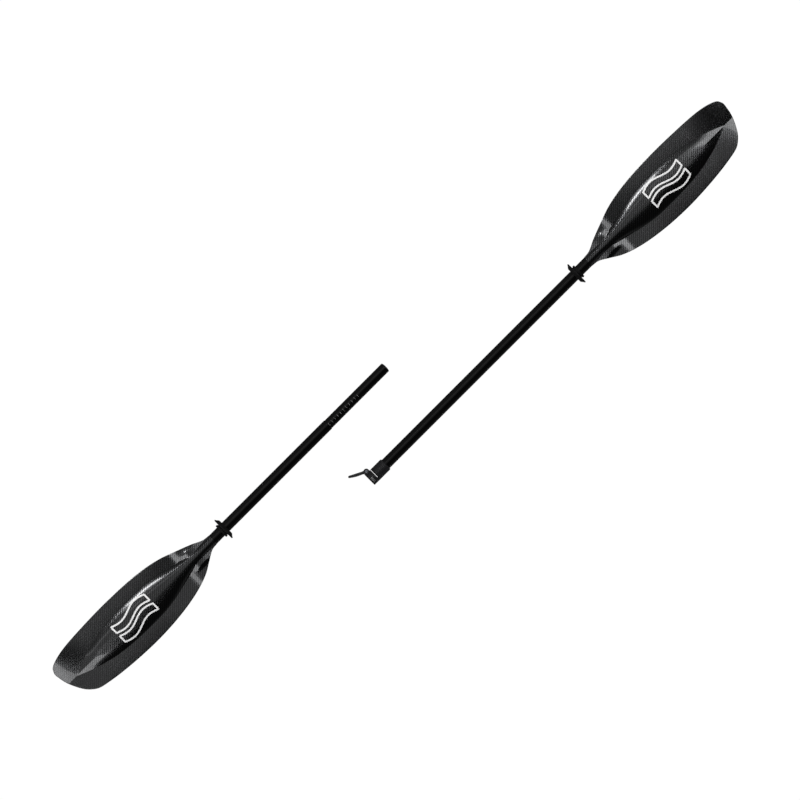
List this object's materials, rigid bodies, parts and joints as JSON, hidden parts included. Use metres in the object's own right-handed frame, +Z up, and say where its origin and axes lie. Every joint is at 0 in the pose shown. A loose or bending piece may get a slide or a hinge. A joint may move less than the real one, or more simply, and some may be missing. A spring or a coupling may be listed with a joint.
{
  "type": "kayak paddle",
  "caption": "Two-piece touring kayak paddle, shown apart, with foam-core blades, drip rings and a lever-locked telescoping ferrule.",
  "frame": {"origin": "centre of the ferrule socket's mouth, on the right half's shaft axis", "axes": "+X along the shafts towards the right blade, +Y across towards the left half lying beside it, +Z up out of the blades' backs, which lie upwards"},
  "size_m": [2.1818, 0.33, 0.063],
  "materials": {
    "shaft_carbon": "gloss",
    "blade_carbon": "gloss",
    "black_nylon": "satin",
    "black_rubber": "matte",
    "steel": "satin",
    "foam": "matte"
  },
  "bodies": {
    "right_half": {"right_shaft": "shaft_carbon", "right_neck_spigot": "shaft_carbon", "right_blade_core": "foam", "right_blade_front_skin": "blade_carbon", "right_blade_back_skin": "blade_carbon", "clamp_collar": "black_nylon", "tension_bolt": "steel", "tension_nut": "steel", "thrust_washers": "steel"},
    "lever": {"clamp_lever": "black_nylon"},
    "right_ring": {"right_drip_ring": "black_rubber"},
    "shaft_float": {"right_shaft_float": "foam"},
    "end_plug": {"ferrule_end_plug": "black_nylon"},
    "left_half": {"left_shaft": "shaft_carbon", "ferrule_tube": "shaft_carbon", "left_neck_spigot": "shaft_carbon", "left_shaft_float": "foam", "left_blade_core": "foam", "left_blade_front_skin": "blade_carbon", "left_blade_back_skin": "blade_carbon"},
    "left_ring": {"left_drip_ring": "black_rubber"}
  },
  "joints": [
    {"name": "lever_hinge", "type": "hinge", "parent": "right_half", "child": "lever", "pos_m": [0.00925, 0.0212, 0], "axis": [0, 0, -1], "range_deg": [0, 153]},
    {"name": "right_ring_slide", "type": "slide", "parent": "right_half", "child": "right_ring", "axis": [1, 0, 0], "range_m": [-0.65, 0.015]},
    {"name": "insert_slide", "type": "slide", "parent": "right_half", "child": "shaft_float", "axis": [1, 0, 0], "range_m": [0, 0.4245]},
    {"name": "carry_slide", "type": "slide", "parent": "shaft_float", "child": "end_plug", "axis": [-0.9348, -0.3552, 0], "range_m": [0, 0.48139]},
    {"name": "feather_hinge", "type": "hinge", "parent": "end_plug", "child": "left_half", "pos_m": [0, 0.171, 0], "axis": [1, 0, 0], "range_deg": [-90, 90]},
    {"name": "left_ring_slide", "type": "slide", "parent": "left_half", "child": "left_ring", "axis": [-1, 0, 0], "range_m": [-0.3, 0.015]}
  ]
}
